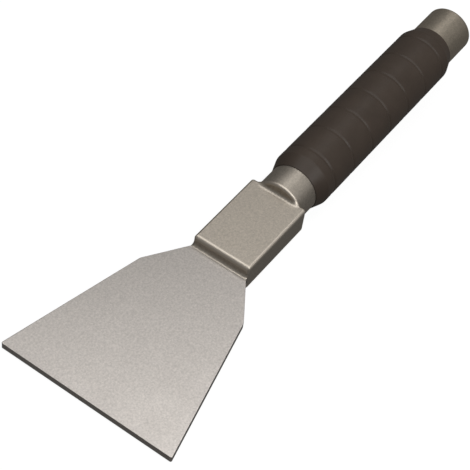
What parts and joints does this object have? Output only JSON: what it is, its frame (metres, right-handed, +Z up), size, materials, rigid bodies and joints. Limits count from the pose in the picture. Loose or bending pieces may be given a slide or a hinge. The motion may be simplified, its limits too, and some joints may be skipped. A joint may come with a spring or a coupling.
{
  "type": "grill spatula",
  "caption": "Rigid flat-top grill spatula: flared steel blade screwed into a cast bolster, with a tubular steel handle and a ribbed rubber sleeve.",
  "frame": {"origin": "the point on the table under the middle of the tool's footprint, as it lies at rest on its blade's front edge and the front of its grip", "axes": "+X from the blade's front edge towards the handle's end, +Z up from the table, +Y across the blade"},
  "size_m": [0.3082, 0.0908, 0.0401],
  "materials": {
    "blade_steel": "stainless plate with a fine blasted satin surface",
    "cast_steel": "fine-grained casting, bead blasted, with softened edges",
    "tube_steel": "satin stainless tube",
    "screw_steel": "plain stainless countersunk screw",
    "pin_steel": "plain ground pin",
    "grip_rubber": "moulded brown-black rubber, semi-matt",
    "plug_plastic": "moulded black plastic"
  },
  "bodies": {
    "root": {"blade": "blade_steel", "bolster": "cast_steel", "blade_screw_front": "screw_steel", "blade_screw_rear": "screw_steel", "handle_tube": "tube_steel", "tube_pin": "pin_steel", "grip_sleeve": "grip_rubber", "end_plug": "plug_plastic"}
  },
  "joints": []
}
